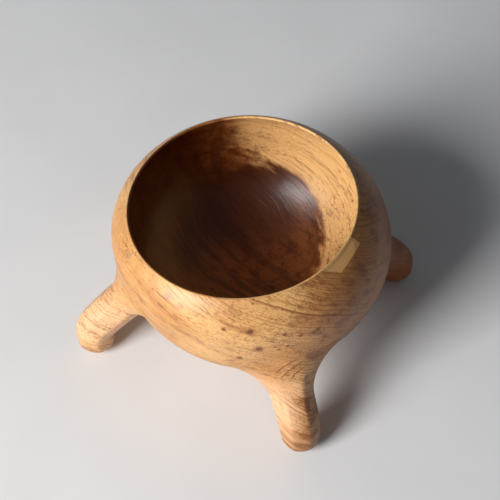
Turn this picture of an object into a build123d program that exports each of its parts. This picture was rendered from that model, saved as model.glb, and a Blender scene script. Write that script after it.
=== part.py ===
from build123d import *
import math
import os

# Driving dimensions in mm. The ground is Z 0 and the origin is the middle of the four feet.
rim_height = 159.5           # middle of the lip
rim_radius = 89.0            # outside of the lip
rim_slope = 1.65             # degrees, the lip is a little higher on the +X side
lip_thickness = 2.6
lip_rounding = 1.0
rim_centre = (2.5, -8.0)
belly_centre = (11.0, -3.0)  # the belly swells to one side of the opening
belly_height = 112.0
belly_radius = 108.7
lean_start = 96.0            # height where the wall starts to lean back to the opening
underside_height = 24.0      # ground clearance under the bowl
hull_bottom = 22.0           # where the rounded hull would close without its flat
lower_fullness = 2.2         # 2 gives an ellipse, more gives a squarer curve
upper_fullness = 2.4
cavity_belly_height = 115.0
cavity_belly_radius = 101.0
cavity_floor = 44.0
cavity_bottom = 43.0         # where the rounded cavity would close without its flat
lower_steps = 8
upper_steps = 5
seam_bearing = 58.0          # degrees from +X, between two legs

front_foot = (36.0, -130.0)  # middle of each foot on the ground
left_foot = (-130.0, -24.5)
right_foot = (130.0, 24.5)
back_foot = (-36.0, 130.0)
leg_radius = 16.3
leg_drop_angle = 43.0        # degrees below level where a leg leaves the bowl
leg_bend_radius = 26.0
knee_height = 28.0           # where the sloping run and the upright run of a leg would meet
neck_reach = 112.0           # level distance from the middle of the belly to each neck
root_reach = 40.0            # from the neck back into the wall of the bowl
root_hollow = 26.0           # radius of the hollow between leg and bowl
foot_rounding = 13.3         # leaves a small worn flat under the foot

hull_reach = belly_height - hull_bottom
cavity_reach = cavity_belly_height - cavity_bottom


def round_radius(height, widest_height, widest, reach, fullness):
    """Radius of a rounded form at a height: a superellipse over the given reach."""
    part_way = min(abs(height - widest_height) / reach, 1.0)
    return widest * (1.0 - part_way ** fullness) ** (1.0 / fullness)


def upper_reach(widest_height, widest, mouth_radius):
    """Height above the widest level at which the form would close if it ran on past the mouth."""
    share = (1.0 - (mouth_radius / widest) ** upper_fullness) ** (1.0 / upper_fullness)
    return (rim_height - widest_height) / share


def level_plane(height):
    """Plane of one section of the bowl, leaning back to the opening near the top."""
    part_way = min(max((height - lean_start) / (rim_height - lean_start), 0.0), 1.0)
    lean = part_way * part_way * (3.0 - 2.0 * part_way)
    across = belly_centre[0] + lean * (rim_centre[0] - belly_centre[0])
    along = belly_centre[1] + lean * (rim_centre[1] - belly_centre[1])
    tilt = math.radians(rim_slope) * lean
    seam = math.radians(seam_bearing)
    return Plane(
        origin=(across, along, height),
        x_dir=(math.cos(seam) * math.cos(tilt), math.sin(seam), math.cos(seam) * math.sin(tilt)),
        z_dir=(-math.sin(tilt), 0, math.cos(tilt)),
    )


def foot_reach(foot):
    """Level distance of a foot from the middle of the belly."""
    return math.hypot(foot[0] - belly_centre[0], foot[1] - belly_centre[1])


def neck_height(foot):
    """Height of the middle of the neck of a leg."""
    return knee_height + (foot_reach(foot) - neck_reach) * math.tan(math.radians(leg_drop_angle))


def upright_plane(foot):
    """Upright plane through the middle of the belly and one foot: X is level and outward, Y is up."""
    out_x = (foot[0] - belly_centre[0]) / foot_reach(foot)
    out_y = (foot[1] - belly_centre[1]) / foot_reach(foot)
    return Plane(origin=(belly_centre[0], belly_centre[1], 0), x_dir=(out_x, out_y, 0), z_dir=(out_y, -out_x, 0))


def neck_plane(foot):
    """Plane square to a leg at its neck, facing down the leg."""
    drop = math.radians(leg_drop_angle)
    out_x = (foot[0] - belly_centre[0]) / foot_reach(foot)
    out_y = (foot[1] - belly_centre[1]) / foot_reach(foot)
    return Plane(
        origin=(belly_centre[0] + neck_reach * out_x, belly_centre[1] + neck_reach * out_y, neck_height(foot)),
        x_dir=(-out_y, out_x, 0),
        z_dir=(math.cos(drop) * out_x, math.cos(drop) * out_y, -math.sin(drop)),
    )


def leg_corners(foot):
    """Neck, knee and ground points of the middle line of a leg, in its upright plane."""
    return [(neck_reach, neck_height(foot)), (foot_reach(foot), knee_height), (foot_reach(foot), 0.0)]


# The bowl: rounded hull, four short roots for the legs, hollow, thin rounded lip.
with BuildPart() as bowl:
    steepest = math.asin((belly_height - underside_height) / hull_reach)
    for step in range(lower_steps):
        level = belly_height - hull_reach * math.sin(steepest * (lower_steps - step) / lower_steps)
        with BuildSketch(level_plane(level)):
            Circle(round_radius(level, belly_height, belly_radius, hull_reach, lower_fullness))
    shoulder_reach = upper_reach(belly_height, belly_radius, rim_radius)
    for step in range(upper_steps + 1):
        level = belly_height + (rim_height - belly_height) * step / upper_steps
        with BuildSketch(level_plane(level)):
            Circle(round_radius(level, belly_height, belly_radius, shoulder_reach, upper_fullness))
    loft()
    for foot in (front_foot, left_foot, right_foot, back_foot):
        with BuildSketch(neck_plane(foot)):
            Circle(leg_radius)
        extrude(amount=-root_reach)
        closed_edges = bowl.edges(Select.LAST).filter_by(lambda edge: edge.is_closed)
        fillet(closed_edges.sort_by_distance((0, 0, belly_height))[0], root_hollow)
    steepest = math.asin((cavity_belly_height - cavity_floor) / cavity_reach)
    for step in range(lower_steps):
        level = cavity_belly_height - cavity_reach * math.sin(steepest * (lower_steps - step) / lower_steps)
        with BuildSketch(level_plane(level)):
            Circle(round_radius(level, cavity_belly_height, cavity_belly_radius, cavity_reach, lower_fullness))
    mouth_reach = upper_reach(cavity_belly_height, cavity_belly_radius, rim_radius - lip_thickness)
    for step in range(upper_steps + 2):
        level = cavity_belly_height + (rim_height - cavity_belly_height) * step / upper_steps
        with BuildSketch(level_plane(level)):
            Circle(round_radius(level, cavity_belly_height, cavity_belly_radius, mouth_reach, upper_fullness))
    loft(mode=Mode.SUBTRACT)
    fillet(bowl.faces().sort_by(Axis.Z)[-1].edges(), lip_rounding)
bowl.part.label = "bowl"

with BuildPart() as leg_front:
    with BuildLine(upright_plane(front_foot)):
        FilletPolyline(*leg_corners(front_foot), radius=leg_bend_radius)
    with BuildSketch(neck_plane(front_foot)):
        Circle(leg_radius)
    sweep()
    fillet(leg_front.faces().sort_by(Axis.Z)[0].edges(), foot_rounding)
leg_front.part.label = "leg_front"

with BuildPart() as leg_left:
    with BuildLine(upright_plane(left_foot)):
        FilletPolyline(*leg_corners(left_foot), radius=leg_bend_radius)
    with BuildSketch(neck_plane(left_foot)):
        Circle(leg_radius)
    sweep()
    fillet(leg_left.faces().sort_by(Axis.Z)[0].edges(), foot_rounding)
leg_left.part.label = "leg_left"

with BuildPart() as leg_right:
    with BuildLine(upright_plane(right_foot)):
        FilletPolyline(*leg_corners(right_foot), radius=leg_bend_radius)
    with BuildSketch(neck_plane(right_foot)):
        Circle(leg_radius)
    sweep()
    fillet(leg_right.faces().sort_by(Axis.Z)[0].edges(), foot_rounding)
leg_right.part.label = "leg_right"

with BuildPart() as leg_back:
    with BuildLine(upright_plane(back_foot)):
        FilletPolyline(*leg_corners(back_foot), radius=leg_bend_radius)
    with BuildSketch(neck_plane(back_foot)):
        Circle(leg_radius)
    sweep()
    fillet(leg_back.faces().sort_by(Axis.Z)[0].edges(), foot_rounding)
leg_back.part.label = "leg_back"

os.makedirs("parts", exist_ok=True)
export_step(bowl.part, "parts/bowl.step")
export_step(leg_front.part, "parts/leg_front.step")
export_step(leg_left.part, "parts/leg_left.step")
export_step(leg_right.part, "parts/leg_right.step")
export_step(leg_back.part, "parts/leg_back.step")
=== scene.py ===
import math
from types import SimpleNamespace

import bpy
import numpy as np
from bpy.props import FloatProperty, FloatVectorProperty, IntProperty, PointerProperty
from mathutils import Matrix


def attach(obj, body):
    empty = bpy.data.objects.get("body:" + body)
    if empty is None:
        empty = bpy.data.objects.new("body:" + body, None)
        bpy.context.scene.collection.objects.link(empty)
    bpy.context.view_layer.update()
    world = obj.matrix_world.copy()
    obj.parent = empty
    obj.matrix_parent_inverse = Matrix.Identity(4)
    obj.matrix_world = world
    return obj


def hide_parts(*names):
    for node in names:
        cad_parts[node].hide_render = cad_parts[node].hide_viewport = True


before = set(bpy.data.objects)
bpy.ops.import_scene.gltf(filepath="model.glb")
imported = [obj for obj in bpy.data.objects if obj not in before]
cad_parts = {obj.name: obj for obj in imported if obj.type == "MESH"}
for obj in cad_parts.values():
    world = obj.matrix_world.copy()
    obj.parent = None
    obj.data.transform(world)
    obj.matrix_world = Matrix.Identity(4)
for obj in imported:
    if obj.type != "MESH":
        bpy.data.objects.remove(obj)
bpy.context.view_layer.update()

bl_info = {
    "name": "Carved footed bowl",
    "version": (1, 0, 0),
    "blender": (4, 5, 0),
    "location": "View3D > Sidebar > Carved bowl",
    "description": "A deep bowl and its four bent legs, carved from one block of oiled wood",
    "category": "Object",
}

# Everything is in metres, with the ground at Z 0 and the origin in the middle of the feet.
LEGS = {
    "front": (0.036, -0.130),
    "left": (-0.130, -0.0245),
    "right": (0.130, 0.0245),
    "back": (-0.036, 0.130),
}
# How far each foot has been left off its leg's straight line, and how high each root climbs the bowl.
FOOT_DRIFT = {
    "front": (0.0012, -0.0004),
    "left": (0.0018, -0.0014),
    "right": (0.0012, 0.0022),
    "back": (0.0, 0.0),
}
ROOT_CLIMB = {"front": 1.0, "left": 1.18, "right": 1.0, "back": 1.0}
# World bearing in degrees of the sharpest knife ridge down each leg.
RIDGES = {"front": -60.0, "left": -82.0, "right": -95.0, "back": 120.0}
# Middles of the belly and of the rim, X and Y; the rim's height and outer radius, and how thick the lip is.
BELLY_MIDDLE = np.array([0.011, -0.003])
RIM_MIDDLE = np.array([0.0025, -0.008])
RIM_HEIGHT, RIM_RADIUS = 0.1586, 0.089
LIP = 0.0026
# The outside: where it is widest, its flattened underside, and how far below the widest level it would close.
BELLY_HEIGHT, BELLY_RADIUS = 0.112, 0.1087
UNDERSIDE, HULL_REACH = 0.024, 0.090
# The hollow: the same, with its floor in place of the underside.
HOLLOW_HEIGHT, HOLLOW_RADIUS = 0.115, 0.101
FLOOR_HEIGHT, HOLLOW_REACH = 0.044, 0.072
# Superellipse powers below and above the widest level, and the height where the sections start to slide over.
LOWER_POWER, UPPER_POWER = 2.2, 2.4
LEAN_START = 0.096
# Each leg: where its neck is cut, the height its sloping line passes there, its bend radius and its slope.
NECK_REACH, KNEE_HEIGHT = 0.112, 0.028
LEG_BEND = 0.026
LEG_DROP = math.radians(43.0)
# How far under the rim hand carving starts to show in full, and how softly the floor and underside flatten.
CUT_FADE, FLAT_SOFTNESS = 0.03, 0.0008
# How sharp the corners between a leg's flats are, and how much the flats take off it all round.
CORNER_SHARPNESS, FLATS_TRIM = 22.0, 0.972
# How far the last row of a foot would stand off the ground, taken up evenly over the ball.
WORN_FLAT = 0.00007
# How far each root's patch reaches past the root on the grid of the wall.
PATCH_MARGIN = 0.005


# ---------------------------------------------------------------- shapes

def upper_reach(widest_height, widest, mouth):
    """Height above the widest level at which a superellipse through the mouth would close."""
    share = (1.0 - (mouth / widest) ** UPPER_POWER) ** (1.0 / UPPER_POWER)
    return (RIM_HEIGHT - widest_height) / share


def round_form(angle, widest_height, widest, lower, upper):
    """Radius and height of a rounded form: a superellipse swept by angle, 0 at its bottom, a right angle at
    its widest, more above; the power and the reach change at the widest level."""
    angle = np.asarray(angle, float)
    low = angle <= math.pi / 2
    power = np.where(low, LOWER_POWER, UPPER_POWER)
    reach = np.where(low, lower, upper)
    across = np.abs(np.sin(angle)) ** (2.0 / power)
    rise = np.abs(np.cos(angle)) ** (2.0 / power)
    height = widest_height + np.where(low, -rise, rise) * reach
    return widest * across, height


def place_on_level(radius, height, bearing):
    """A point at a radius and bearing on the level section at a height; near the top the sections slide
    over and tip slightly towards the opening, by a smooth step from LEAN_START to the rim."""
    part = np.clip((height - LEAN_START) / (RIM_HEIGHT - LEAN_START), 0.0, 1.0)
    lean = part * part * (3.0 - 2.0 * part)
    tilt = settings().rim_slope * lean
    cos_b, sin_b = np.cos(bearing), np.sin(bearing)
    x = BELLY_MIDDLE[0] + lean * (RIM_MIDDLE[0] - BELLY_MIDDLE[0]) + radius * cos_b * np.cos(tilt)
    y = BELLY_MIDDLE[1] + lean * (RIM_MIDDLE[1] - BELLY_MIDDLE[1]) + radius * sin_b
    z = height + radius * cos_b * np.sin(tilt)
    return np.stack(np.broadcast_arrays(x, y, z), axis=-1)


def hand_cut(radius, height, bearing):
    """Small unevenness of hand carving: three slow waves round the wall, added to the radius."""
    wave = np.sin(3 * bearing + 40 * height) + 0.7 * np.sin(5 * bearing - 55 * height + 1.3)
    wave = wave + 0.5 * np.sin(2 * bearing + 90 * height + 4.0)
    return radius + settings().unevenness * wave * np.clip(radius / 0.05, 0.0, 1.0)


def hull_point(angle, bearing):
    """A point on the outside of the bowl at a superellipse angle and a bearing; the underside is flat."""
    upper = upper_reach(BELLY_HEIGHT, BELLY_RADIUS, RIM_RADIUS)
    radius, height = round_form(angle, BELLY_HEIGHT, BELLY_RADIUS, HULL_REACH, upper)
    height = UNDERSIDE + FLAT_SOFTNESS * np.logaddexp(0.0, (height - UNDERSIDE) / FLAT_SOFTNESS)
    fade = np.clip((RIM_HEIGHT - height) / CUT_FADE, 0.0, 1.0)
    radius = radius + (hand_cut(radius, height, bearing) - radius) * fade
    return place_on_level(radius, height, bearing)


def angle_at_height(height):
    """Superellipse angle of the outside of the bowl at a height below the belly."""
    return math.acos(((BELLY_HEIGHT - height) / HULL_REACH) ** (LOWER_POWER / 2.0))


def on_wall(bearing, height):
    """A point on the outside of the bowl at a bearing in degrees and a height, then the way the wall faces
    there and the level way along it, from two short steps over the wall and their cross product."""
    upper = upper_reach(BELLY_HEIGHT, BELLY_RADIUS, RIM_RADIUS)
    if height < BELLY_HEIGHT:
        angle = angle_at_height(height)
    else:
        angle = math.pi - math.acos(((height - BELLY_HEIGHT) / upper) ** (UPPER_POWER / 2.0))
    turn = math.radians(bearing)
    point = hull_point(np.array(angle), np.array(turn))
    up = hull_point(np.array(angle + 1e-3), np.array(turn)) - point
    side = hull_point(np.array(angle), np.array(turn + 1e-3)) - point
    return point, unit(np.cross(side, up)), unit(side)


def unit(vector):
    """The same direction, one long."""
    return np.asarray(vector, float) / np.linalg.norm(vector)


def leg_line(foot):
    """Measures of one leg's middle line: unit direction outward from the belly, reach to the foot, neck
    height, length of the sloping run, length of the bend, and height at which the bend ends."""
    away = np.array(foot) - BELLY_MIDDLE
    reach = float(np.hypot(*away))
    out = away / reach
    neck_height = KNEE_HEIGHT + (reach - NECK_REACH) * math.tan(LEG_DROP)
    turn = math.pi / 2 - LEG_DROP
    tangent = LEG_BEND * math.tan(turn / 2)
    slope_run = (reach - NECK_REACH) / math.cos(LEG_DROP) - tangent
    bend_run = LEG_BEND * turn
    return out, reach, neck_height, slope_run, bend_run, KNEE_HEIGHT - tangent


def leg_middle(foot, along):
    """Middle line of a leg at distances along it from the neck: a sloping run, an arc of LEG_BEND, then
    upright. Gives the point, the direction of travel, the upper side and the level side."""
    out, _, neck_height, slope_run, bend_run, _ = leg_line(foot)
    along = np.asarray(along, float)
    angle = LEG_DROP + np.clip((along - slope_run) / LEG_BEND, 0.0, math.pi / 2 - LEG_DROP)
    first = np.minimum(along, slope_run)
    last = np.maximum(along - slope_run - bend_run, 0.0)
    level = NECK_REACH + first * math.cos(LEG_DROP) + LEG_BEND * (np.sin(angle) - math.sin(LEG_DROP))
    height = neck_height - first * math.sin(LEG_DROP)
    height = height - LEG_BEND * (math.cos(LEG_DROP) - np.cos(angle)) - last
    point = np.stack([BELLY_MIDDLE[0] + level * out[0], BELLY_MIDDLE[1] + level * out[1], height], -1)
    travel = np.stack([np.cos(angle) * out[0], np.cos(angle) * out[1], -np.sin(angle)], -1)
    upper = np.stack([np.sin(angle) * out[0], np.sin(angle) * out[1], np.cos(angle)], -1)
    side = np.array([-out[1], out[0], 0.0])
    return point, travel, upper, side


def whittled(name, turn, along):
    """Radius of a leg round its section: a regular polygon of flats made soft by a power mean of its side
    distances, one corner on the leg's ridge, the flats drifting slightly as they run down."""
    s = settings()
    out = leg_line(LEGS[name])[0]
    bearing = math.atan2(out[1], out[0])
    ridge = math.radians(RIDGES[name]) - bearing
    count = s.leg_flats
    side = 2 * math.pi / count
    phase = 1.7 * len(name)
    gauge = 0.0
    for m in range(count):
        wander = 0.10 * math.sin(2.1 * m + phase) * np.sin(along * 70 + m * 1.9)
        middle = ridge + (m + 0.5) * side + (wander if m not in (0, count - 1) else 0.35 * wander)
        distance = 1.0 + 0.016 * np.sin(along * 110 + 2.7 * m + phase) + 0.012 * math.sin(4.3 * m + phase)
        distance = distance - (0.045 if m in (0, count - 1) else 0.0)
        gauge = gauge + (np.clip(np.cos(turn - middle), 0.0, 1.0) / distance) ** CORNER_SHARPNESS
    return FLATS_TRIM * gauge ** (-1.0 / CORNER_SHARPNESS)


def leg_ring(name, along, turn):
    """Points round a leg: its middle line plus the whittled radius, which thins from the neck to the ball
    of the foot; past there the radius closes as a quarter circle and ends on a small worn flat."""
    s = settings()
    foot = LEGS[name]
    *_, slope_run, bend_run, bend_end = leg_line(foot)
    ball = s.foot_radius
    total = slope_run + bend_run + bend_end
    start_of_ball = total - ball
    part = np.clip(along / start_of_ball, 0.0, 1.0)
    radius = s.neck_radius + (ball - s.neck_radius) * part
    past = np.clip((along - start_of_ball) / ball, 0.0, 1.0)
    close = np.sqrt(np.clip(1.0 - past ** 2, 0.0, 1.0))
    point, _, upper, side = leg_middle(foot, np.minimum(along + WORN_FLAT * past, total))
    radius = radius * close
    depth = s.flat_depth * (1.0 - 0.85 * np.sqrt(past[:, None]))
    shape = 1.0 + (whittled(name, turn[None, :], along[:, None]) - 1.0) * depth
    swing = np.cos(turn)[None, :, None] * upper[:, None, :]
    swing = swing + np.sin(turn)[None, :, None] * side[None, None, :]
    ring = point[:, None, :] + (radius[:, None] * shape)[:, :, None] * swing
    share = np.clip(along / total, 0.0, 1.0)
    drift = (share * share * (3.0 - 2.0 * share))[:, None, None] * np.array(FOOT_DRIFT[name])
    ring[..., :2] = ring[..., :2] + drift
    ring[..., 2] = np.maximum(ring[..., 2], 0.0)
    return ring


def leg_rows(name):
    """Distances along one leg for its rows of points, closer together round the ball of the foot."""
    s = settings()
    *_, slope_run, bend_run, bend_end = leg_line(LEGS[name])
    total = slope_run + bend_run + bend_end
    start_of_ball = total - s.foot_radius
    straight = np.linspace(0.0, start_of_ball, max(int(start_of_ball / 0.0011), 8), endpoint=False)
    closing = start_of_ball + s.foot_radius * np.sin(np.linspace(0.0, math.pi / 2, 18))[:-1]
    return np.concatenate([straight, closing])


def where_leg_meets_hull(name):
    """Superellipse angle and bearing where a leg's sloping line, run back inward, meets the outside of the
    bowl: of 1201 even steps back, the one nearest the hull."""
    out, _, neck_height, *_ = leg_line(LEGS[name])
    back = np.linspace(0.0, 0.06, 1201)
    level = NECK_REACH - back * math.cos(LEG_DROP)
    height = neck_height + back * math.sin(LEG_DROP)
    share = np.clip((BELLY_HEIGHT - height) / HULL_REACH, 0.0, 1.0)
    hull = BELLY_RADIUS * (1.0 - share ** LOWER_POWER) ** (1.0 / LOWER_POWER)
    here = int(np.argmin(np.abs(hull - level)))
    return angle_at_height(float(height[here])), math.atan2(out[1], out[0])


# ---------------------------------------------------------------- meshes

def put_mesh(name, points, quads, triangles, inner=None, sharp_ring=None):
    """One mesh object from arrays of points, four-sided and three-sided faces, shaded smooth, with an
    attribute that is 1 on the wall of the hollow and 0 elsewhere, and a hard edge round each flat end."""
    used = np.zeros(len(points), bool)
    used[quads.ravel()] = True
    used[triangles.ravel()] = True
    renumber = np.cumsum(used) - 1
    points = points[used]
    quads, triangles = renumber[quads], renumber[triangles]
    mesh = bpy.data.meshes.new(name)
    loops = np.concatenate([quads.ravel(), triangles.ravel()])
    mesh.vertices.add(len(points))
    mesh.vertices.foreach_set("co", points.astype(np.float32).ravel())
    mesh.loops.add(len(loops))
    mesh.loops.foreach_set("vertex_index", loops.astype(np.int32))
    starts = np.concatenate([np.arange(len(quads)) * 4, len(quads) * 4 + np.arange(len(triangles)) * 3])
    mesh.polygons.add(len(starts))
    mesh.polygons.foreach_set("loop_start", starts.astype(np.int32))
    mesh.polygons.foreach_set("use_smooth", np.ones(len(starts), bool))
    mesh.update(calc_edges=True)
    if inner is not None:
        data = mesh.attributes.new("inside", "FLOAT", "POINT")
        data.data.foreach_set("value", inner[used].astype(np.float32))
    if sharp_ring is not None:
        ends = np.empty(len(mesh.edges) * 2, np.int32)
        mesh.edges.foreach_get("vertices", ends)
        ends = ends.reshape(-1, 2)
        hard = np.zeros(len(points), bool)
        hard[renumber[sharp_ring]] = True
        mesh.edges.foreach_set("use_edge_sharp", hard[ends[:, 0]] & hard[ends[:, 1]])
    mesh.validate()
    piece = bpy.data.objects.new(name, mesh)
    bpy.context.scene.collection.objects.link(piece)
    return piece


def bowl_rows():
    """Rows of the bowl's wall from under its middle, up the outside, over the lip and down to the middle of
    the hollow: superellipse angles outside, then radius and height over the half-round lip, then radius and
    height down the hollow, whose floor is flattened softly."""
    rim_share = (RIM_RADIUS / BELLY_RADIUS) ** (UPPER_POWER / 2.0)
    outer = np.concatenate([
        np.linspace(0.02, math.pi / 2, 74, endpoint=False),
        np.linspace(math.pi / 2, math.pi - math.asin(rim_share), 26),
    ])
    mouth = RIM_RADIUS - LIP
    upper = upper_reach(HOLLOW_HEIGHT, HOLLOW_RADIUS, mouth)
    hollow_share = (mouth / HOLLOW_RADIUS) ** (UPPER_POWER / 2.0)
    hollow = np.concatenate([
        np.linspace(math.pi - math.asin(hollow_share), math.pi / 2, 26, endpoint=False),
        np.linspace(math.pi / 2, 0.02, 66),
    ])
    radius, height = round_form(hollow, HOLLOW_HEIGHT, HOLLOW_RADIUS, HOLLOW_REACH, upper)
    height = FLOOR_HEIGHT + FLAT_SOFTNESS * np.logaddexp(0.0, (height - FLOOR_HEIGHT) / FLAT_SOFTNESS)
    bend = np.linspace(0.0, math.pi, 11)[1:-1]
    lip_radius = RIM_RADIUS - LIP / 2 + LIP / 2 * np.cos(bend)
    lip_height = RIM_HEIGHT + 0.0010 * np.sin(bend)
    return outer, lip_radius, lip_height, radius, height


def wall_grid(columns):
    """The wall without its roots: points in rows by bearings, 1 or 0 for inside the hollow, and the angles
    of the rows outside."""
    bearings = np.arange(columns) * 2 * math.pi / columns
    outer, lip_radius, lip_height, radius, height = bowl_rows()
    outside = hull_point(outer[:, None], bearings[None, :])
    lip = place_on_level(lip_radius[:, None], lip_height[:, None], bearings[None, :])
    radius, height = radius[:, None], height[:, None]
    fade = np.clip((RIM_HEIGHT - height) / CUT_FADE, 0.0, 1.0)
    cut = radius + (hand_cut(radius, height, bearings[None, :]) - radius) * fade
    hollow = place_on_level(cut, height, bearings[None, :])
    grid = np.concatenate([outside, lip, hollow])
    inner = np.zeros(grid.shape[:2])
    inner[len(outer) + len(lip_radius) // 2:] = 1.0
    return grid, inner, outer


def root_patch(name, outer, columns):
    """The patch of the grid that one root takes: its middle, the size there of a step in angle and in
    bearing, its reach up, down and sideways, its rows and columns, and its border's, in order round the
    leg."""
    s = settings()
    patch = SimpleNamespace()
    patch.angle, patch.bearing = where_leg_meets_hull(name)
    step = 1e-4
    middle = hull_point(np.array(patch.angle), np.array(patch.bearing))
    above = hull_point(np.array(patch.angle + step), np.array(patch.bearing))
    beside = hull_point(np.array(patch.angle), np.array(patch.bearing + step))
    patch.up_size = np.linalg.norm(above - middle) / step
    patch.side_size = np.linalg.norm(beside - middle) / step
    patch.high, patch.low, patch.wide = s.flare_up * ROOT_CLIMB[name], s.flare_down, s.flare_side
    first = int(np.searchsorted(outer, patch.angle - (patch.low + PATCH_MARGIN) / patch.up_size)) - 1
    first = max(first, 2)
    last = int(np.searchsorted(outer, patch.angle + (patch.high + PATCH_MARGIN) / patch.up_size)) + 1
    half = int(math.ceil((patch.wide + PATCH_MARGIN) / patch.side_size / (2 * math.pi / columns)))
    centre = int(round((patch.bearing % (2 * math.pi)) / (2 * math.pi / columns)))
    left, right = centre - half, centre + half
    patch.rows, patch.columns = slice(first, last), np.arange(left, right) % columns
    tall = last - first
    patch.edge_i = np.concatenate([
        np.full(half, last), np.arange(last, first, -1), np.full(2 * half, first), np.arange(first, last),
        np.full(half, last)])
    patch.edge_j = np.concatenate([
        np.arange(centre, right), np.full(tall, right), np.arange(right, left, -1), np.full(tall, left),
        np.arange(left, centre)])
    return patch


def root_rings(name, patch, outer, columns):
    """Rings of one root and the turn of each point round the leg. From the border of the patch the rings
    round off to an egg on the hull, then sweep to the leg's neck along a cubic whose end directions lie in
    the hull and along the leg, so the wood runs on without a corner."""
    s = settings()
    d_angle = outer[patch.edge_i] - patch.angle
    d_bearing = patch.edge_j * 2 * math.pi / columns - patch.bearing
    d_bearing = (d_bearing + math.pi) % (2 * math.pi) - math.pi
    turn = np.arctan2(d_bearing * patch.side_size, d_angle * patch.up_size)
    egg = np.where(np.cos(turn) > 0, patch.high, patch.low)
    egg = 1.0 / np.sqrt((np.cos(turn) / egg) ** 2 + (np.sin(turn) / patch.wide) ** 2)
    egg_angle = egg * np.cos(turn) / patch.up_size
    egg_bearing = egg * np.sin(turn) / patch.side_size
    rings = []
    for part in np.linspace(0.0, 1.0, 5)[1:]:
        rings.append(hull_point(
            patch.angle + d_angle + (egg_angle - d_angle) * part,
            patch.bearing + d_bearing + (egg_bearing - d_bearing) * part))
    base = rings[-1]
    slide = hull_point(patch.angle + egg_angle * 0.98, patch.bearing + egg_bearing * 0.98) - base
    slide = slide / np.linalg.norm(slide, axis=1, keepdims=True)
    neck = leg_ring(name, np.array([0.0]), turn)[0]
    travel = leg_middle(LEGS[name], np.array([0.0]))[1][0]
    gap = np.linalg.norm(neck - base, axis=1, keepdims=True)
    pull_base, pull_neck = s.flare_pull * gap * slide, 0.9 * gap * travel
    for t in np.linspace(0.0, 1.0, s.flare_rows + 1)[1:]:
        rings.append(
            (2 * t ** 3 - 3 * t ** 2 + 1) * base + (t ** 3 - 2 * t ** 2 + t) * pull_base
            + (3 * t ** 2 - 2 * t ** 3) * neck + (t ** 3 - t ** 2) * pull_neck)
    return rings, turn


# The turn round the leg of each point of its neck, which the bowl settles and the leg then follows.
NECK_TURNS = {}


def bowl_surface():
    """The whole wall as a grid of rows by bearings, each leg's patch cut out of it and filled by the rings
    of its root, stitched to the patch's border and closed by a flat neck; both poles are closed by a
    fan."""
    columns = settings().columns
    grid, inner, outer = wall_grid(columns)
    points, inners = [grid.reshape(-1, 3)], [inner.ravel()]
    count = inner.size
    index = np.arange(count).reshape(inner.shape)
    keep = np.ones((len(grid) - 1, columns), bool)
    quads, triangles, necks = [], [], []
    for name in LEGS:
        patch = root_patch(name, outer, columns)
        keep[patch.rows, patch.columns] = False
        rings, turn = root_rings(name, patch, outer, columns)
        NECK_TURNS[name] = turn
        total = len(turn)
        previous = index[patch.edge_i, patch.edge_j % columns]
        for ring in rings:
            current = count + np.arange(total)
            points.append(ring)
            inners.append(np.zeros(total))
            count += total
            quads.append(np.stack([previous, current, np.roll(current, -1), np.roll(previous, -1)], 1))
            previous = current
        points.append(rings[-1].mean(0)[None])
        inners.append(np.zeros(1))
        triangles.append(np.stack([np.full(total, count), np.roll(previous, -1), previous], 1))
        necks.append(previous)
        count += 1
    right = np.roll(index, -1, axis=1)
    quads.append(np.stack([index[:-1], right[:-1], right[1:], index[1:]], -1)[keep])
    points.append(np.array([grid[0].mean(0), grid[-1].mean(0)]))
    inners.append(np.array([0.0, 1.0]))
    triangles.append(np.stack([np.full(columns, count), right[0], index[0]], 1))
    triangles.append(np.stack([np.full(columns, count + 1), index[-1], right[-1]], 1))
    points, quads, triangles = np.concatenate(points), np.concatenate(quads), np.concatenate(triangles)
    return points, quads, triangles, np.concatenate(inners), np.concatenate(necks)


def leg_surface(name):
    """One leg as a tube of whittled rings from its flat neck to the worn flat under its foot."""
    turn = NECK_TURNS[name]
    rows = leg_ring(name, leg_rows(name), turn)
    total = len(turn)
    points = rows.reshape(-1, 3)
    index = np.arange(len(points)).reshape(-1, total)
    right = np.roll(index, -1, axis=1)
    quads = np.stack([index[:-1], index[1:], right[1:], right[:-1]], -1).reshape(-1, 4)
    ends = np.array([rows[0].mean(0), rows[-1].mean(0)])
    count = len(points)
    neck = np.stack([np.full(total, count), index[0], right[0]], 1)
    tip = np.stack([np.full(total, count + 1), right[-1], index[-1]], 1)
    points = np.concatenate([points, ends])
    return points, quads, np.concatenate([neck, tip]), np.zeros(len(points)), index[0]


# ---------------------------------------------------------------- wood

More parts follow.
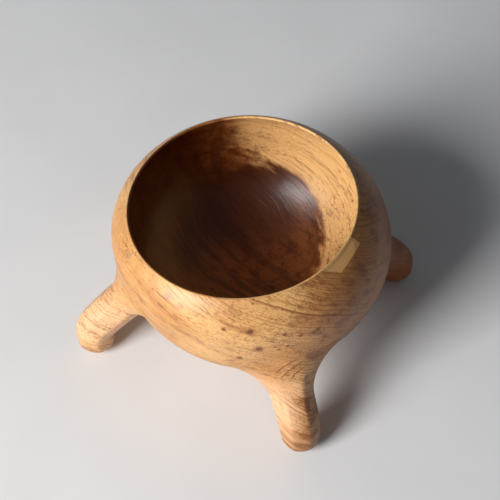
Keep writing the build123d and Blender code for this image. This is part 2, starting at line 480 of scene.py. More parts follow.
class Nodes:
    """Short words for building one material's node tree."""

    def __init__(self, material):
        material.use_nodes = True
        self.tree = material.node_tree
        self.tree.nodes.clear()

    def add(self, kind, **values):
        """A new node with its options set."""
        node = self.tree.nodes.new(kind)
        for key, value in values.items():
            setattr(node, key, value)
        return node

    def link(self, source, target):
        """Links a socket to an input, or sets the input to a plain value."""
        if isinstance(source, bpy.types.NodeSocket):
            self.tree.links.new(source, target)
        else:
            target.default_value = source

    def maths(self, operation, a, b=0.0, c=0.0):
        """One arithmetic step on up to three numbers."""
        node = self.add("ShaderNodeMath", operation=operation)
        for socket, value in zip(node.inputs, (a, b, c)):
            self.link(value, socket)
        return node.outputs[0]

    def vector(self, operation, a, b=(0.0, 0.0, 0.0), scale=1.0):
        """One step on vectors; a dot product, a length or a distance gives a number."""
        node = self.add("ShaderNodeVectorMath", operation=operation)
        self.link(a, node.inputs[0])
        if operation == "SCALE":
            self.link(scale, node.inputs["Scale"])
        elif operation != "LENGTH":
            self.link(b, node.inputs[1])
        return node.outputs["Value" if operation in ("DOT_PRODUCT", "LENGTH", "DISTANCE") else "Vector"]

    def blend(self, share, a, b):
        """The first number where the share is 0, the second where it is 1, straight between them."""
        node = self.add("ShaderNodeMix", data_type="FLOAT")
        for socket, value in ((node.inputs[0], share), (node.inputs[2], a), (node.inputs[3], b)):
            self.link(value, socket)
        return node.outputs[0]

    def drawn(self, along, across, through, slow, wide, deep):
        """Grain coordinates scaled so that a texture is drawn out along the fibres."""
        return self.join(self.maths("MULTIPLY", along, slow), self.maths("MULTIPLY", across, wide),
                         self.maths("MULTIPLY", through, deep))

    def join(self, x, y, z):
        """A vector from three numbers."""
        node = self.add("ShaderNodeCombineXYZ")
        for socket, value in zip(node.inputs, (x, y, z)):
            self.link(value, socket)
        return node.outputs[0]

    def noise(self, vector, scale, detail=2.0, rough=0.5):
        """Fractal noise, from 0 to 1, with so many cycles a metre."""
        node = self.add("ShaderNodeTexNoise")
        self.link(vector, node.inputs["Vector"])
        node.inputs["Scale"].default_value = scale
        node.inputs["Detail"].default_value = detail
        node.inputs["Roughness"].default_value = rough
        return node.outputs["Fac"]

    def spread(self, value, low, high, out_low=0.0, out_high=1.0):
        """A smooth step from one value at the first bound to another at the second, level past both."""
        node = self.add("ShaderNodeMapRange", interpolation_type="SMOOTHSTEP")
        for socket, number in zip(node.inputs, (value, low, high, out_low, out_high)):
            self.link(number, socket)
        return node.outputs[0]

    def mix(self, share, a, b):
        """Two colours blended by a share."""
        node = self.add("ShaderNodeMix", data_type="RGBA", blend_type="MIX")
        self.link(share, node.inputs[0])
        for socket, value in ((node.inputs[6], a), (node.inputs[7], b)):
            self.link(value, socket)
        return node.outputs[2]


def colour(value):
    """A four-part colour from a three-part one."""
    return (value[0], value[1], value[2], 1.0)


# The way the near-flat rings of the outer wood face, and roughly the way its fibres run.
LAYER_FACING = (0.505, 0.315, 0.804)
FIBRE_RUN = (0.72, -0.66, -0.2)
# A point on the slanting line that the rings of the hollow run round, and the way that line runs.
HEART_POINT = (-0.007, 0.097, -0.015)
HEART_RUN = (0.707, -0.707, -0.43)
# How far the grain wanders, and how many times a metre.
WANDER, WANDER_SCALE = 0.014, 13.0
# Patterns drawn out along the grain: cycles a metre along, across and through it, then detail and roughness.
STREAKS = (7.0, 80.0, 170.0, 3.0, 0.55)
FIBRES = (13.0, 250.0, 330.0, 2.0, 0.5)
PORES = (120.0, 1000.0, 1000.0, 1.0, 0.5)
FLECKS = (300.0, 640.0, 640.0, 1.0, 0.5)
VEINS = (5.0, 115.0, 30.0, 2.0, 0.5)
# Between the two bounds of each pair, in metres, one wood gives way to the next.
CRISP_RINGS_X = (0.015, 0.045)
# Honey-brown wood on the right, also painted shade low on the legs.
AMBER_AND_SHADE_X = (0.030, 0.078)
# Brown wood on the right, partly painted shade over the right leg.
BROWN_AND_SHADE_X = (0.104, 0.122)
PALE_LEG_Z = (0.085, 0.050)
# Pale leg wood fading towards the feet, partly painted shade near the ground.
PALE_FOOT_Z = (0.008, 0.040)
FLECKS_X, FLECKS_Y, FLECKS_Z = (-0.045, -0.015), (-0.060, -0.085), (0.070, 0.095)
# The heartwood's upper edge in the hollow: its height at Y 0, its rise towards the back, the Y in front of
# which it is level, and its drop on the right.
HEART_EDGE, HEART_EDGE_RISE, HEART_EDGE_FLAT_Y = 0.0575, 0.30, -0.02
HEART_EDGE_DROP, HEART_DROP_X = -0.009, (0.048, 0.074)
# How far the streaks fray the edge of the heartwood.
FRAY = 0.018


def wood_grain(n):
    """Where a place lies in the block: its position pushed about a little by noise, its distance through
    the rings, and its distances along, across and through the fibres. The outer wood has near-flat rings
    that dip to the right and back; the wood of the hollow has rings round a slanting line under the bowl;
    `inside` blends the two."""
    w = SimpleNamespace()
    w.place = n.add("ShaderNodeTexCoord").outputs["Object"]
    w.inside = n.add("ShaderNodeAttribute", attribute_type="GEOMETRY", attribute_name="inside").outputs["Fac"]
    w.outside = n.maths("SUBTRACT", 1.0, w.inside)
    wobble = n.add("ShaderNodeTexNoise")
    n.link(w.place, wobble.inputs["Vector"])
    wobble.inputs["Scale"].default_value = WANDER_SCALE
    wobble.inputs["Detail"].default_value = 3.0
    shifted = n.vector("SUBTRACT", wobble.outputs["Color"], (0.5, 0.5, 0.5))
    w.bent = n.vector("ADD", w.place, n.vector("SCALE", shifted, scale=WANDER))
    apart = n.add("ShaderNodeSeparateXYZ")
    n.link(w.bent, apart.inputs[0])
    w.x, w.y, w.z = apart.outputs

    layer = unit(LAYER_FACING)
    fibre_way = unit(np.cross(np.cross(layer, FIBRE_RUN), layer))
    sideways = unit(np.cross(layer, fibre_way))
    outer_ring = n.vector("DOT_PRODUCT", w.bent, tuple(layer))
    inner_way = unit(HEART_RUN)
    inner_level = unit(np.cross(inner_way, (0.0, 0.0, 1.0)))
    inner_above = unit(np.cross(inner_level, inner_way))
    from_heart = n.vector("SUBTRACT", w.bent, HEART_POINT)
    inner_across = n.vector("DOT_PRODUCT", from_heart, tuple(inner_level))
    inner_over = n.vector("DOT_PRODUCT", from_heart, tuple(inner_above))
    inner_ring = n.vector("LENGTH", n.join(inner_across, inner_over, 0.0))
    w.ring_place = n.blend(w.inside, outer_ring, inner_ring)
    w.along = n.blend(w.inside, n.vector("DOT_PRODUCT", w.bent, tuple(fibre_way)),
                      n.vector("DOT_PRODUCT", from_heart, tuple(inner_way)))
    w.across = n.blend(w.inside, n.vector("DOT_PRODUCT", w.bent, tuple(sideways)), inner_across)
    w.through = n.blend(w.inside, outer_ring, inner_over)
    return w


def drawn_out(n, w, pattern):
    """Noise drawn out along the fibres: each grain distance times its own number of cycles a metre."""
    slow, wide, deep, detail, rough = pattern
    return n.noise(n.drawn(w.along, w.across, w.through, slow, wide, deep), 1.0, detail, rough)


def growth_rings(n, w):
    """Adds the dark outer edge of each ring, 0 to 1: the ring's number is distance over ring width plus
    slow noise; its fraction darkens towards 1 and ends sharply; each ring has its own strength, never weak
    at the front right."""
    uneven = n.noise(n.join(w.ring_place, 0.0, 0.0), 55.0, 2.0)
    count = n.maths("DIVIDE", w.ring_place, settings().ring_width)
    count = n.maths("ADD", count, n.maths("MULTIPLY", uneven, 9.0))
    ring = n.maths("FRACT", count)
    edge = n.maths("MULTIPLY", n.spread(ring, 0.45, 0.95), n.spread(ring, 1.0, 0.96))
    own = n.noise(n.join(n.maths("FLOOR", count), 0.0, 0.0), 7.3, 0.0)
    w.crisp = n.maths("MULTIPLY", n.spread(w.x, *CRISP_RINGS_X), w.outside)
    strength = n.maths("MAXIMUM", n.spread(own, 0.42, 0.72, 0.12, 1.0), n.maths("MULTIPLY", w.crisp, 0.6))
    w.late = n.maths("MULTIPLY", edge, strength)


def grain_patterns(n, w):
    """Adds long streaks, fine fibres, hairlines, short pores and slow clouds. A hairline is the thin
    contour where the fibre noise crosses its middle value, and it shows most on the streaks."""
    w.streak = drawn_out(n, w, STREAKS)
    w.fibre = drawn_out(n, w, FIBRES)
    w.pores = drawn_out(n, w, PORES)
    w.cloud = n.noise(w.bent, 20.0, 2.0, 0.5)
    w.sway = n.maths("SUBTRACT", w.streak, 0.5)
    w.feather = n.maths("MULTIPLY", w.sway, FRAY)
    thin = n.maths("ABSOLUTE", n.maths("SUBTRACT", w.fibre, 0.5))
    w.hairs = n.maths("MULTIPLY", n.spread(thin, 0.045, 0.004), n.spread(w.streak, 0.40, 0.62, 0.30, 1.0))


def heartwood_shares(n, w):
    """Adds the share of heartwood in the hollow and the darker fringe inside its edge: heartwood lies below
    a slanting, frayed edge, up the whole left wall, and in the corner between the two. Up the left wall
    and in the corner the share is partly dark heartwood and partly painted shade."""
    back = n.maths("MAXIMUM", w.y, HEART_EDGE_FLAT_Y)
    edge = n.maths("MULTIPLY_ADD", back, HEART_EDGE_RISE, HEART_EDGE)
    edge = n.maths("ADD", edge, n.spread(w.x, *HEART_DROP_X, 0.0, HEART_EDGE_DROP))
    depth = n.maths("ADD", n.maths("SUBTRACT", edge, w.z), w.feather)
    # Up the left wall, which faces away from the lamp, this share is partly dark heartwood and partly painted
    # shade.
    left = n.maths("SUBTRACT", n.maths("MULTIPLY_ADD", w.y, 0.10, -0.004), w.x)
    left = n.maths("ADD", left, w.feather)
    heart = n.maths("MAXIMUM", n.spread(depth, -0.004, 0.004), n.spread(left, -0.008, 0.016))
    heart = n.maths("MAXIMUM", heart, n.spread(n.maths("ADD", depth, left), -0.024, -0.004))
    fringe = n.maths("MULTIPLY", n.spread(depth, -0.002, 0.005), n.spread(depth, 0.030, 0.008))
    # The heartwood share carries painted shade as well as heartwood up the left wall.
    w.heart = n.maths("MULTIPLY", heart, w.inside)
    w.fringe = n.maths("MULTIPLY", fringe, w.inside)


def sapwood(n, w):
    """Colour of the sapwood: cloudy and pale, honey-brown then brown to the right, palest in the hollow and
    pinker down the legs. The palest wood in the hollow is partly painted light on its lit far wall; the brown
    to the right is partly painted shade over the right leg; the pinker wood fades near the ground, partly as
    painted shade at the feet. Adds the share of honey-brown wood, which starts further left towards the
    ground as painted shade on the shaded side of the legs."""
    s = settings()
    # Towards the ground the honey-brown wood reaches further left: painted shade on the shaded side of the
    # legs.
    lower = n.maths("MAXIMUM", n.maths("SUBTRACT", 0.09, w.z), 0.0)
    side = n.maths("MULTIPLY_ADD", w.sway, 0.05, n.maths("MULTIPLY_ADD", lower, 0.35, w.x))
    amber_and_shade = n.spread(side, *AMBER_AND_SHADE_X)
    w.amber_and_shade = n.maths("MULTIPLY", amber_and_shade, w.outside)
    cloud = n.maths("MULTIPLY", n.maths("SUBTRACT", w.cloud, 0.5), 0.03)
    # Brown over the right leg and the right edge: partly darker wood, partly painted shade where that leg
    # stands in the bowl's shadow.
    brown = n.maths("MULTIPLY", n.spread(n.maths("ADD", w.x, cloud), *BROWN_AND_SHADE_X), w.outside)
    leg = n.maths("MULTIPLY", n.maths("SUBTRACT", 1.0, amber_and_shade), n.spread(w.z, *PALE_LEG_Z))
    # Near the ground the pale leg wood fades: partly darker wood at the feet, partly painted shade.
    leg = n.maths("MULTIPLY", leg, n.spread(w.z, *PALE_FOOT_Z, 0.35, 1.0))
    leg = n.maths("MULTIPLY", leg, w.outside)
    base = n.mix(n.spread(w.cloud, 0.36, 0.66), colour(s.sapwood_light), colour(s.sapwood_deep))
    base = n.mix(n.maths("MULTIPLY", w.amber_and_shade, 0.85), base, colour(s.amber_and_shade))
    # The brown here is partly painted shade over the right leg.
    base = n.mix(n.maths("MULTIPLY", brown, 0.8), base, colour(s.heartwood_mid))
    # Paler wood over the hollow: partly pale sapwood, partly painted light standing in for the lamp's light
    # on the far wall.
    base = n.mix(n.maths("MULTIPLY", w.inside, 0.75), base, colour(s.sapwood_hollow_and_light))
    return n.mix(n.maths("MULTIPLY", leg, 0.6), base, colour(s.sapwood_leg))


def heartwood(n, w):
    """Colour of the heartwood: lighter and darker streaks, redder towards the front of the floor, and
    darkest up the left wall and over the middle and back of the floor. That darkest colour is partly deep
    heartwood and partly painted shade."""
    s = settings()
    base = n.mix(n.spread(w.streak, 0.35, 0.66), colour(s.heartwood_light), colour(s.heartwood_mid))
    # Darker to the left and back: partly deep heartwood, partly painted shade on the wall turned away from
    # the lamp.
    left_heart_and_shade = n.maths("SUBTRACT", n.maths("MULTIPLY", w.y, 0.3), w.x)
    near_front = n.maths("MULTIPLY", n.spread(w.y, 0.030, -0.060), n.spread(left_heart_and_shade, 0.060, 0.010))
    base = n.mix(n.maths("MULTIPLY", near_front, 0.92), base, colour(s.heartwood_front))
    base = n.mix(n.spread(left_heart_and_shade, 0.010, 0.085, 0.0, 0.85), base, colour(s.heartwood_deep_and_shade))
    # Darker over the middle and back of the floor: partly deep heartwood, partly painted shade.
    middle = n.spread(n.maths("ADD", w.y, w.feather), 0.005, 0.055)
    middle = n.maths("MULTIPLY", middle, n.spread(w.x, 0.062, 0.036))
    middle = n.maths("MULTIPLY", middle, n.spread(w.z, 0.105, 0.075))
    return n.mix(n.maths("MULTIPLY", middle, 0.78), base, colour(s.heartwood_deep_and_shade))


def grain_lines(n, w, base, line):
    """The wood with its fringe, ring edges, streaks, hairlines and pores drawn over it in the line colour;
    the ring edges are faint in the heartwood and strongest at the front right."""
    s = settings()
    base = n.mix(n.maths("MULTIPLY", w.fringe, 0.55), base, line)
    quiet = n.maths("MULTIPLY_ADD", w.heart, -0.65, 1.0)
    contrast = n.maths("MULTIPLY_ADD", w.crisp, 0.25, s.ring_contrast)
    base = n.mix(n.maths("MULTIPLY", n.maths("MULTIPLY", w.late, quiet), contrast), base, line)
    base = n.mix(n.spread(w.streak, 0.56, 0.72, 0.0, s.streak_contrast), base, line)
    base = n.mix(n.maths("MULTIPLY", w.hairs, s.fibre_contrast), base, line)
    return n.mix(n.spread(w.pores, 0.60, 0.74, 0.0, s.pore_contrast), base, line)


def front_flecks(n, w, base, line):
    """Short dark flecks at the front, where the knife crossed the open pores."""
    front = n.maths("MULTIPLY", n.spread(w.x, *FLECKS_X), n.spread(w.z, *FLECKS_Z))
    front = n.maths("MULTIPLY", n.maths("MULTIPLY", front, w.outside), n.spread(w.y, *FLECKS_Y))
    flecks = n.spread(drawn_out(n, w, FLECKS), 0.56, 0.66)
    return n.mix(n.maths("MULTIPLY", flecks, n.maths("MULTIPLY", front, 0.42)), base, line)


def root_arcs(n, w, base, line):
    """Short arcs where the rings turn into the front root: thin bands at set distances from one point, kept
    to a small ball."""
    near = n.maths("MULTIPLY", n.spread(n.vector("DISTANCE", w.place, ARCS_MIDDLE), 0.0150, 0.0090), 0.75)
    away = n.maths("MULTIPLY_ADD", w.feather, 0.12, n.vector("DISTANCE", w.place, ARCS_CENTRE))
    for reach in ARCS:
        off = n.maths("ABSOLUTE", n.maths("SUBTRACT", away, reach))
        base = n.mix(n.maths("MULTIPLY", n.spread(off, 0.0012, 0.0003), near), base, line)
    return base


def dark_bands(n, w, base, line):
    """Dark veins along the grain of the heartwood, and broken dark bands on the honey-brown side."""
    veins = n.maths("MULTIPLY", n.spread(drawn_out(n, w, VEINS), 0.50, 0.60), w.heart)
    base = n.mix(n.maths("MULTIPLY", veins, 0.50), base, colour(settings().heartwood_deep_and_shade))
    bands = n.maths("MULTIPLY", n.spread(w.streak, 0.50, 0.62), w.amber_and_shade)
    return n.mix(n.maths("MULTIPLY", bands, 0.5), base, line)


def pale_flat(n, w, base):
    """The patch of pale wood on the flat beside the lip: partly pale sapwood, partly painted light where the
    flat turns up towards the lamp.
    """
    pale = n.maths("MULTIPLY", behind_planes(n, w.place, PALE_SIDES), w.outside)
    return n.mix(n.maths("MULTIPLY", pale, 0.8), base, colour(settings().sapwood_light))


def knots_and_stains(n, w, base):
    """Pin knots, each a dark eye in a paler brown halo, and faint plum-coloured stains high on the left:
    each is a blend by distance from its middle on the wall, after the place is pushed about a little by the
    streaks."""
    s = settings()
    push = n.maths("MULTIPLY", w.sway, KNOT_PUSH)
    pushed = n.vector("ADD", w.place, n.join(push, 0.0, push))
    for bearing, height, eye in PIN_KNOTS:
        away = n.vector("DISTANCE", pushed, tuple(on_wall(bearing, height)[0]))
        base = n.mix(n.spread(away, eye * 2.3, eye * 1.0, 0.0, 0.5), base, colour(s.late_wood))
        base = n.mix(n.spread(away, eye * 1.15, eye * 0.6, 0.0, 0.9), base, colour(s.knot))
    for bearing, height, reach in STAINS:
        away = n.vector("DISTANCE", pushed, tuple(on_wall(bearing, height)[0]))
        base = n.mix(n.spread(away, reach, reach * 0.2, 0.0, 0.45), base, colour(s.stain))
    return base


def wood_relief(n, w):
    """Height of the surface in metres: raised fibres, sunk pores and ring edges, slow swells and the
    knife's dents."""
    height = n.maths("MULTIPLY", w.fibre, 0.00010)
    height = n.maths("MULTIPLY_ADD", w.pores, -0.00006, height)
    height = n.maths("MULTIPLY_ADD", w.late, -0.00006, height)
    height = n.maths("MULTIPLY_ADD", n.noise(w.place, 48.0, 1.0, 0.4), 0.0006, height)
    return n.maths("ADD", height, tool_marks(n, w.place))


def oiled_wood(name):
    """Oiled solid wood, cut through by the surface: growth rings, fibres, pale sapwood and dark heartwood,
    pores, pin knots and a few flats left by the knife. Some of the colour is painted light and shade:
    paler wood high in the hollow and on the lip's flat, darker wood up the hollow's left wall, over the back
    of its floor, on the right leg and low on the legs."""
    s = settings()
    material = bpy.data.materials.new(name)
    n = Nodes(material)
    w = wood_grain(n)
    growth_rings(n, w)
    grain_patterns(n, w)
    heartwood_shares(n, w)
    # The heartwood share and its deep colour carry painted shade in the hollow as well as heartwood.
    line = n.mix(w.heart, colour(s.late_wood), colour(s.heartwood_deep_and_shade))
    base = n.mix(w.heart, sapwood(n, w), heartwood(n, w))
    base = grain_lines(n, w, base, line)
    base = front_flecks(n, w, base, line)
    base = root_arcs(n, w, base, line)
    base = dark_bands(n, w, base, line)
    base = pale_flat(n, w, base)
    base = knots_and_stains(n, w, base)

    shader = n.add("ShaderNodeBsdfPrincipled")
    n.link(base, shader.inputs["Base Color"])
    rough = n.maths("MULTIPLY_ADD", w.fibre, 0.12, s.roughness)
    n.link(n.maths("MULTIPLY_ADD", w.heart, -0.10, rough), shader.inputs["Roughness"])
    shader.inputs["Specular IOR Level"].default_value = 0.38
    shader.inputs["Coat Weight"].default_value = 0.06
    shader.inputs["Coat Roughness"].default_value = 0.32
    bump = n.add("ShaderNodeBump")
    bump.inputs["Strength"].default_value = 1.0
    bump.inputs["Distance"].default_value = 1.0
    n.link(wood_relief(n, w), bump.inputs["Height"])
    n.link(bump.outputs[0], shader.inputs["Normal"])
    output = n.add("ShaderNodeOutputMaterial")
    n.link(shader.outputs[0], output.inputs[0])
    return material


def above_flat(n, place, flat):
    """Height of the wall above the plane of a knife flat, none below it and none far from its middle."""
    x, y, z, nx, ny, nz, depth, reach = flat
    normal = unit((nx, ny, nz))
    level = float(normal @ (x, y, z)) - depth
    over = n.maths("SUBTRACT", n.vector("DOT_PRODUCT", place, tuple(normal)), level)
    near = n.maths("LESS_THAN", n.vector("DISTANCE", place, (x, y, z)), reach)
    return n.maths("MULTIPLY", n.maths("MAXIMUM", over, 0.0), near)


def in_scoop(n, place, scoop):
    """Depth of a shallow scoop of the gouge: how far a place lies inside a large ball that is drawn out
    along the stroke."""
    bearing, height, slope, ball, depth, slim = scoop
    middle, facing, level = on_wall(bearing, height)
    stroke = math.cos(slope) * level + math.sin(slope) * np.cross(facing, level)
    centre = middle + facing * (ball - depth)
    offset = n.vector("SUBTRACT", place, tuple(centre))
    share = n.maths("MULTIPLY", n.vector("DOT_PRODUCT", offset, tuple(stroke)), slim)
    slimmed = n.vector("SUBTRACT", offset, n.vector("SCALE", tuple(stroke), scale=share))
    return n.maths("MAXIMUM", n.maths("SUBTRACT", ball, n.vector("LENGTH", slimmed)), 0.0)


def tool_marks(n, place):
    """Relief of the tool marks: minus the wood that each flat and each scoop takes away."""
    total = n.maths("MULTIPLY", above_flat(n, place, LIP_FLAT), -1.0)
    for scoop in SCOOPS:
        total = n.maths("SUBTRACT", total, in_scoop(n, place, scoop))
    return total


def behind_planes(n, place, planes):
    """1 where a place lies behind every plane of a list (a point on it, then the way it faces), 0
    outside."""
    share = 1.0
    for point, facing in planes:
        facing = unit(facing)
        level = float(facing @ np.array(point))
        beyond = n.maths("SUBTRACT", n.vector("DOT_PRODUCT", place, tuple(facing)), level)
        share = n.maths("MULTIPLY", share, n.spread(beyond, 0.0003, -0.0003))
    return share


# The flat beside the lip: a point on the wall, the way it faces, its depth there and how far it may reach.
LIP_FLAT = (0.0754, -0.0622, 0.1587, 0.47, -0.42, 0.78, 0.0009, 0.030)
# Sides of its pale patch, partly pale wood and partly painted light: outer, front, back and inner.
PALE_SIDES = (
    ((0.0821, -0.0597, 0.1547), (0.62, -0.38, -0.69)),
    ((0.0692, -0.0750, 0.1559), (0.20, -0.95, 0.05)),
    ((0.0850, -0.0492, 0.1585), (0.10, 0.99, -0.145)),
    ((0.0550, 0.0, 0.0), (-1.0, 0.0, 0.0)),
)
# Scoops: bearing in degrees and height on the wall, slope of the stroke, radius of the ball, depth,
# slimness.
SCOOPS = (
    (-91.0, 0.0967, -0.15, 0.034, 0.00050, 0.60),
    (-85.6, 0.1368, -0.80, 0.045, 0.00050, 0.50),
    (-97.0, 0.1180, -0.50, 0.050, 0.00014, 0.55),
    (-58.9, 0.1492, -0.80, 0.045, 0.00034, 0.50),
    (-42.0, 0.1420, -0.90, 0.045, 0.00022, 0.50),
)


# Arcs at the front root: the middle of the patch, the point they curve round, and their distances from it.
ARCS_MIDDLE = (0.0312, -0.1115, 0.0830)
ARCS_CENTRE = (0.0486, -0.1077, 0.0596)
ARCS = (0.0228, 0.0296, 0.0358)


# How far the streaks push the knots and stains about.
KNOT_PUSH = 0.0025
# Bearing in degrees, height and reach of each stain.
STAINS = (
    (-121.0, 0.1500, 0.0045),
    (-128.0, 0.1525, 0.0050),
    (-157.0, 0.1534, 0.0040),
)
# Bearing in degrees and height of each pin knot on the wall, and the radius of its dark eye.
PIN_KNOTS = (
    (-91.0, 0.1390, 0.0023),
    (-90.4, 0.1176, 0.0027),
    (-99.5, 0.1016, 0.0018),
    (-101.7, 0.1408, 0.0014),
    (-78.2, 0.1314, 0.0014),
    (-72.8, 0.1252, 0.0014),
    (-67.5, 0.1230, 0.0011),
    (-65.3, 0.1252, 0.0014),
    (-83.0, 0.1131, 0.0011),
    (-79.2, 0.1162, 0.0012),
    (-56.7, 0.1294, 0.0014),
)


def finish_piece(piece, node):
    """Gives a piece its wood and tells the frame what it stands for."""
    piece.data.materials.append(oiled_wood(piece.name + "_wood"))
    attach(piece, "root")
    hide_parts(node)


# ---------------------------------------------------------------- stage

# The floor's half width and its two pale paints; the sky's colour and strength.
FLOOR_REACH = 4.0
PAINT_LOW, PAINT_HIGH = (0.74, 0.74, 0.735, 1.0), (0.77, 0.77, 0.765, 1.0)
SKY, SKY_STRENGTH = (0.80, 0.84, 0.90, 1.0), 0.13
# The window-like lamp: its place, size, power and colour, and what it is aimed at.
WINDOW_PLACE, WINDOW_AIM = (-1.70, -1.30, 1.27), (0.0, 0.0, 0.08)
WINDOW_WIDTH, WINDOW_HEIGHT = 1.0, 1.5
WINDOW_POWER, WINDOW_COLOUR = 90.0, (0.99, 0.99, 1.0)
# The camera: its place, how far it looks down, how far it leans, and its lens.
CAMERA_PLACE = (0.00625, -0.5726, 0.8743)
CAMERA_DOWN, CAMERA_LEAN = math.radians(53.98), math.radians(-3.81)
CAMERA_LENS, CAMERA_SENSOR = 86.4, 36.0


def turned(right, up, back, place):
    """The matrix that turns a thing's own axes to three directions and puts it at a place."""
    turn = Matrix([list(right), list(up), list(back)]).transposed().to_4x4()
    turn.translation = place
    return turn


def lay_floor(scene):
    """A wide plain floor in matt pale paint, slightly mottled."""
    r = FLOOR_REACH
    mesh = bpy.data.meshes.new("floor")
    mesh.from_pydata([(-r, -r, 0), (r, -r, 0), (r, r, 0), (-r, r, 0)], [], [(0, 1, 2, 3)])
    floor = bpy.data.objects.new("floor", mesh)
    scene.collection.objects.link(floor)
    material = bpy.data.materials.new("floor_paint")
    n = Nodes(material)
    mottle = n.noise(n.add("ShaderNodeTexCoord").outputs["Object"], 9.0, 3.0, 0.5)
    shader = n.add("ShaderNodeBsdfPrincipled")
    n.link(n.mix(n.spread(mottle, 0.3, 0.7), PAINT_LOW, PAINT_HIGH), shader.inputs["Base Color"])
    shader.inputs["Roughness"].default_value = 0.85
    output = n.add("ShaderNodeOutputMaterial")
    n.link(shader.outputs[0], output.inputs[0])
    mesh.materials.append(material)


def hang_lamps(scene):
    """A dim even sky, and one oblong soft lamp like a window, high on the left and aimed at the bowl."""
    world = bpy.data.worlds.new("room")
    scene.world = world
    world.use_nodes = True
    world.node_tree.nodes["Background"].inputs[0].default_value = SKY
    world.node_tree.nodes["Background"].inputs[1].default_value = SKY_STRENGTH
    data = bpy.data.lights.new("window", "AREA")
    data.shape = "RECTANGLE"
    data.size, data.size_y = WINDOW_WIDTH, WINDOW_HEIGHT
    data.energy = WINDOW_POWER
    data.color = WINDOW_COLOUR
    lamp = bpy.data.objects.new("window", data)
    scene.collection.objects.link(lamp)
    back = unit(np.array(WINDOW_PLACE) - np.array(WINDOW_AIM))
    level = unit(np.cross((0.0, 0.0, 1.0), back))
    lamp.matrix_world = turned(level, np.cross(back, level), back, WINDOW_PLACE)


def set_camera(scene):
    """The camera above and in front of the bowl, looking down over the rim and leaning a little."""
    data = bpy.data.cameras.new("camera")
    data.sensor_width = CAMERA_SENSOR
    data.lens = CAMERA_LENS
    camera = bpy.data.objects.new("camera", data)
    scene.collection.objects.link(camera)
    forward = np.array([0.0, math.cos(CAMERA_DOWN), -math.sin(CAMERA_DOWN)])
    level = np.array([1.0, 0.0, 0.0])
    upward = np.cross(level, forward)
    right = math.cos(CAMERA_LEAN) * level + math.sin(CAMERA_LEAN) * upward
    up = -math.sin(CAMERA_LEAN) * level + math.cos(CAMERA_LEAN) * upward
    camera.matrix_world = turned(right, up, -forward, CAMERA_PLACE)
    scene.camera = camera


# ---------------------------------------------------------------- settings, operators, panel

def settings():
    """The settings of this scene's bowl."""
    return bpy.context.scene.carved_bowl


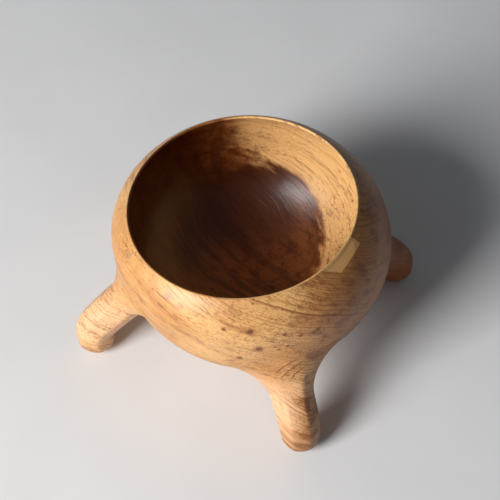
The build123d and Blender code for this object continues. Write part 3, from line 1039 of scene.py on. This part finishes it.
class CarvedBowlSettings(bpy.types.PropertyGroup):
    """Sizes and colours of the bowl and its legs"""

    rim_slope: FloatProperty(
        name="Rim slope", description="How far the lip tips up to the right",
        default=math.radians(1.65), subtype="ANGLE")
    unevenness: FloatProperty(
        name="Unevenness", description="How far hand carving wanders", default=0.00022, unit="LENGTH")
    columns: IntProperty(
        name="Columns", description="Points round the bowl", default=336, min=96, max=400)
    neck_radius: FloatProperty(
        name="Neck radius", description="Radius of each leg at its neck", default=0.0168, unit="LENGTH")
    foot_radius: FloatProperty(
        name="Foot radius", description="Radius of the ball of each foot", default=0.0157, unit="LENGTH")
    leg_flats: IntProperty(
        name="Leg flats", description="Knife flats round each leg", default=7, min=4, max=12)
    flat_depth: FloatProperty(
        name="Flat depth", description="How clearly the flats show", default=0.65, min=0.0, max=1.5)
    flare_up: FloatProperty(
        name="Flare up", description="Reach of each root up the bowl", default=0.050, unit="LENGTH")
    flare_down: FloatProperty(
        name="Flare down", description="Reach of each root down the bowl", default=0.036, unit="LENGTH")
    flare_side: FloatProperty(
        name="Flare sideways", description="Reach of each root round the bowl", default=0.044, unit="LENGTH")
    flare_pull: FloatProperty(
        name="Flare pull", description="How long each root follows the bowl", default=1.0, min=0.0, max=2.0)
    flare_rows: IntProperty(
        name="Flare rows", description="Rows of points in each root", default=26, min=8, max=60)
    ring_width: FloatProperty(
        name="Ring width", description="Width of one year's growth", default=0.0024, unit="LENGTH")
    ring_contrast: FloatProperty(
        name="Ring contrast", description="How dark the ring edges are",
        default=0.65, min=0.0, max=1.0, subtype="FACTOR")
    streak_contrast: FloatProperty(
        name="Streak contrast", description="How dark the long streaks are",
        default=0.45, min=0.0, max=1.0, subtype="FACTOR")
    fibre_contrast: FloatProperty(
        name="Fibre contrast", description="How dark the fine fibres are",
        default=0.65, min=0.0, max=1.0, subtype="FACTOR")
    pore_contrast: FloatProperty(
        name="Pore contrast", description="How dark the open pores are",
        default=0.45, min=0.0, max=1.0, subtype="FACTOR")
    roughness: FloatProperty(
        name="Roughness", description="Roughness of the oiled surface",
        default=0.36, min=0.0, max=1.0, subtype="FACTOR")
    sapwood_light: FloatVectorProperty(
        name="Sapwood, light", description="Palest outer wood",
        default=(0.72, 0.40, 0.15), min=0.0, max=1.0, subtype="COLOR")
    sapwood_deep: FloatVectorProperty(
        name="Sapwood, deep", description="Deeper outer wood",
        default=(0.58, 0.28, 0.09), min=0.0, max=1.0, subtype="COLOR")
    # Pale sapwood of the hollow, made paler as painted light on the lit far wall.
    sapwood_hollow_and_light: FloatVectorProperty(
        name="Sapwood, hollow", description="Pale wood high in the hollow",
        default=(0.88, 0.53, 0.21), min=0.0, max=1.0, subtype="COLOR")
    sapwood_leg: FloatVectorProperty(
        name="Sapwood, legs", description="Pinker pale wood of the legs",
        default=(0.92, 0.58, 0.34), min=0.0, max=1.0, subtype="COLOR")
    # Honey-brown wood, also used as painted shade on the shaded side of the legs.
    amber_and_shade: FloatVectorProperty(
        name="Amber", description="Honey-brown outer wood on the right",
        default=(0.33, 0.12, 0.030), min=0.0, max=1.0, subtype="COLOR")
    late_wood: FloatVectorProperty(
        name="Late wood", description="Dark edge of each ring",
        default=(0.20, 0.06, 0.014), min=0.0, max=1.0, subtype="COLOR")
    heartwood_light: FloatVectorProperty(
        name="Heartwood, light", description="Lighter heart of the log",
        default=(0.42, 0.155, 0.038), min=0.0, max=1.0, subtype="COLOR")
    heartwood_mid: FloatVectorProperty(
        name="Heartwood, middle", description="Usual heart of the log",
        default=(0.29, 0.083, 0.017), min=0.0, max=1.0, subtype="COLOR")
    heartwood_front: FloatVectorProperty(
        name="Heartwood, front", description="Redder heart at the front of the hollow",
        default=(0.76, 0.28, 0.060), min=0.0, max=1.0, subtype="COLOR")
    # Deep heartwood, also painted as shade up the hollow's left wall and over the back of its floor.
    heartwood_deep_and_shade: FloatVectorProperty(
        name="Heartwood, deep", description="Darkest heart of the log",
        default=(0.052, 0.010, 0.003), min=0.0, max=1.0, subtype="COLOR")
    stain: FloatVectorProperty(
        name="Stain", description="Plum-coloured stain in the pale wood",
        default=(0.30, 0.15, 0.13), min=0.0, max=1.0, subtype="COLOR")
    knot: FloatVectorProperty(
        name="Pin knot", description="Colour of a pin knot",
        default=(0.15, 0.042, 0.014), min=0.0, max=1.0, subtype="COLOR")


class CARVED_OT_bowl(bpy.types.Operator):
    """Makes the bowl with the four short roots that its legs grow from"""

    bl_idname = "carved.bowl"
    bl_label = "Bowl"

    def execute(self, context):
        piece = put_mesh("carved_bowl", *bowl_surface())
        finish_piece(piece, "bowl")
        return {"FINISHED"}


class CARVED_OT_legs(bpy.types.Operator):
    """Makes the four bent legs from neck to foot"""

    bl_idname = "carved.legs"
    bl_label = "Legs"

    def execute(self, context):
        if not NECK_TURNS:
            raise RuntimeError("make the bowl first: its roots settle where each leg starts")
        for name in LEGS:
            piece = put_mesh("carved_leg_" + name, *leg_surface(name))
            finish_piece(piece, "leg_" + name)
        return {"FINISHED"}


class CARVED_OT_stage(bpy.types.Operator):
    """Lays the floor, hangs the lamps and sets the camera"""

    bl_idname = "carved.stage"
    bl_label = "Stage"

    def execute(self, context):
        lay_floor(context.scene)
        hang_lamps(context.scene)
        set_camera(context.scene)
        context.scene.view_settings.view_transform = "Standard"
        return {"FINISHED"}


class CARVED_PT_panel(bpy.types.Panel):
    """Lists the pieces and their settings"""

    bl_label = "Carved bowl"
    bl_idname = "CARVED_PT_panel"
    bl_space_type = "VIEW_3D"
    bl_region_type = "UI"
    bl_category = "Carved bowl"

    def draw(self, context):
        for operator in (CARVED_OT_bowl, CARVED_OT_legs, CARVED_OT_stage):
            self.layout.operator(operator.bl_idname)
        for key in CarvedBowlSettings.__annotations__:
            self.layout.prop(context.scene.carved_bowl, key)


CLASSES = (CarvedBowlSettings, CARVED_OT_bowl, CARVED_OT_legs, CARVED_OT_stage, CARVED_PT_panel)


def register():
    """Adds the settings, the operators and the panel."""
    for item in CLASSES:
        bpy.utils.register_class(item)
    bpy.types.Scene.carved_bowl = PointerProperty(type=CarvedBowlSettings)


def unregister():
    """Takes them away again."""
    del bpy.types.Scene.carved_bowl
    for item in reversed(CLASSES):
        bpy.utils.unregister_class(item)


def main():
    """Makes the bowl, the legs and the stage."""
    register()
    bpy.ops.carved.bowl()
    bpy.ops.carved.legs()
    bpy.ops.carved.stage()


if __name__ == "__main__":
    main()
